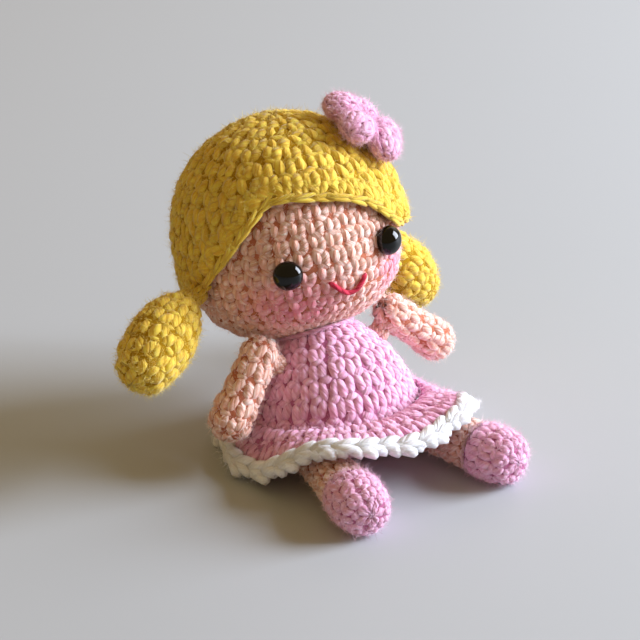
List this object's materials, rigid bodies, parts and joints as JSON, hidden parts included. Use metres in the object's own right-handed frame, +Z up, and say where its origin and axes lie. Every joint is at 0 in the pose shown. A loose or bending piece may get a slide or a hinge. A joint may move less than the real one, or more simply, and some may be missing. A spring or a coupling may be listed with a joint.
{
  "type": "crochet doll",
  "caption": "Small crocheted doll that sits, with a stuffed head, body, arms and legs, pigtails, bead eyes, a hair flower and a flared skirt with a scalloped edge.",
  "frame": {"origin": "middle of the flat seat under the body, on the surface that the doll sits on", "axes": "+Z up, -Y the way that the doll faces, +X towards the doll's left hand"},
  "size_m": [0.0892, 0.0789, 0.0687],
  "materials": {
    "skin_yarn": "matte crocheted yarn",
    "hair_yarn": "matte crocheted yarn",
    "pink_yarn": "matte crocheted yarn",
    "white_yarn": "matte crocheted yarn",
    "red_thread": "matte sewing thread",
    "fibre": "loose polyester fibre",
    "black_plastic": "polished",
    "washer_plastic": "moulded"
  },
  "bodies": {
    "torso": {"body_cover": "pink_yarn", "body_stuffing": "fibre", "neck_seam": "pink_yarn", "skirt": "pink_yarn", "skirt_edge": "white_yarn", "shoulder_seam_right": "skin_yarn", "shoulder_seam_left": "skin_yarn"},
    "head": {"head_cover": "skin_yarn", "head_stuffing": "fibre", "eye_right": "black_plastic", "eye_left": "black_plastic", "eye_washer_right": "washer_plastic", "eye_washer_left": "washer_plastic", "mouth_thread": "red_thread", "hair_cap": "hair_yarn", "flower": "pink_yarn"},
    "right_pigtail": {"pigtail_right": "hair_yarn"},
    "left_pigtail": {"pigtail_left": "hair_yarn"},
    "right_arm": {"arm_right": "skin_yarn", "arm_stuffing_right": "fibre"},
    "left_arm": {"arm_left": "skin_yarn", "arm_stuffing_left": "fibre"},
    "right_leg": {"leg_right": "skin_yarn", "shoe_right": "pink_yarn", "leg_stuffing_right": "fibre"},
    "left_leg": {"leg_left": "skin_yarn", "shoe_left": "pink_yarn", "leg_stuffing_left": "fibre"}
  },
  "joints": [
    {"name": "neck_turn", "type": "hinge", "parent": "torso", "child": "head", "pos_m": [0, 0.01573, 0.04136], "axis": [0, 0.4695, 0.8829], "range_deg": [-32, 32]},
    {"name": "right_shoulder", "type": "hinge", "parent": "torso", "child": "right_arm", "pos_m": [-0.01622, 0.00125, 0.02299], "axis": [-0.7186, 0.0907, 0.6895], "range_deg": [-10, 90]},
    {"name": "left_shoulder", "type": "hinge", "parent": "torso", "child": "left_arm", "pos_m": [0.01622, 0.00125, 0.02299], "axis": [-0.7186, -0.0907, -0.6895], "range_deg": [-5, 90]},
    {"name": "right_hip", "type": "hinge", "parent": "torso", "child": "right_leg", "pos_m": [-0.0125, -0.0135, 0.0047], "axis": [0.977, -0.213, 0], "range_deg": [-2, 75]},
    {"name": "left_hip", "type": "hinge", "parent": "torso", "child": "left_leg", "pos_m": [0.0125, -0.0135, 0.0047], "axis": [0.977, 0.213, 0], "range_deg": [-2, 75]},
    {"name": "right_pigtail_root", "type": "hinge", "parent": "head", "child": "right_pigtail", "pos_m": [-0.02681, 0.01105, 0.03349], "axis": [0, 0.9816, -0.1908], "range_deg": [-28, 60]},
    {"name": "left_pigtail_root", "type": "hinge", "parent": "head", "child": "left_pigtail", "pos_m": [0.02506, 0.02104, 0.03], "axis": [0, -0.9816, 0.1908], "range_deg": [-10, 60]}
  ]
}
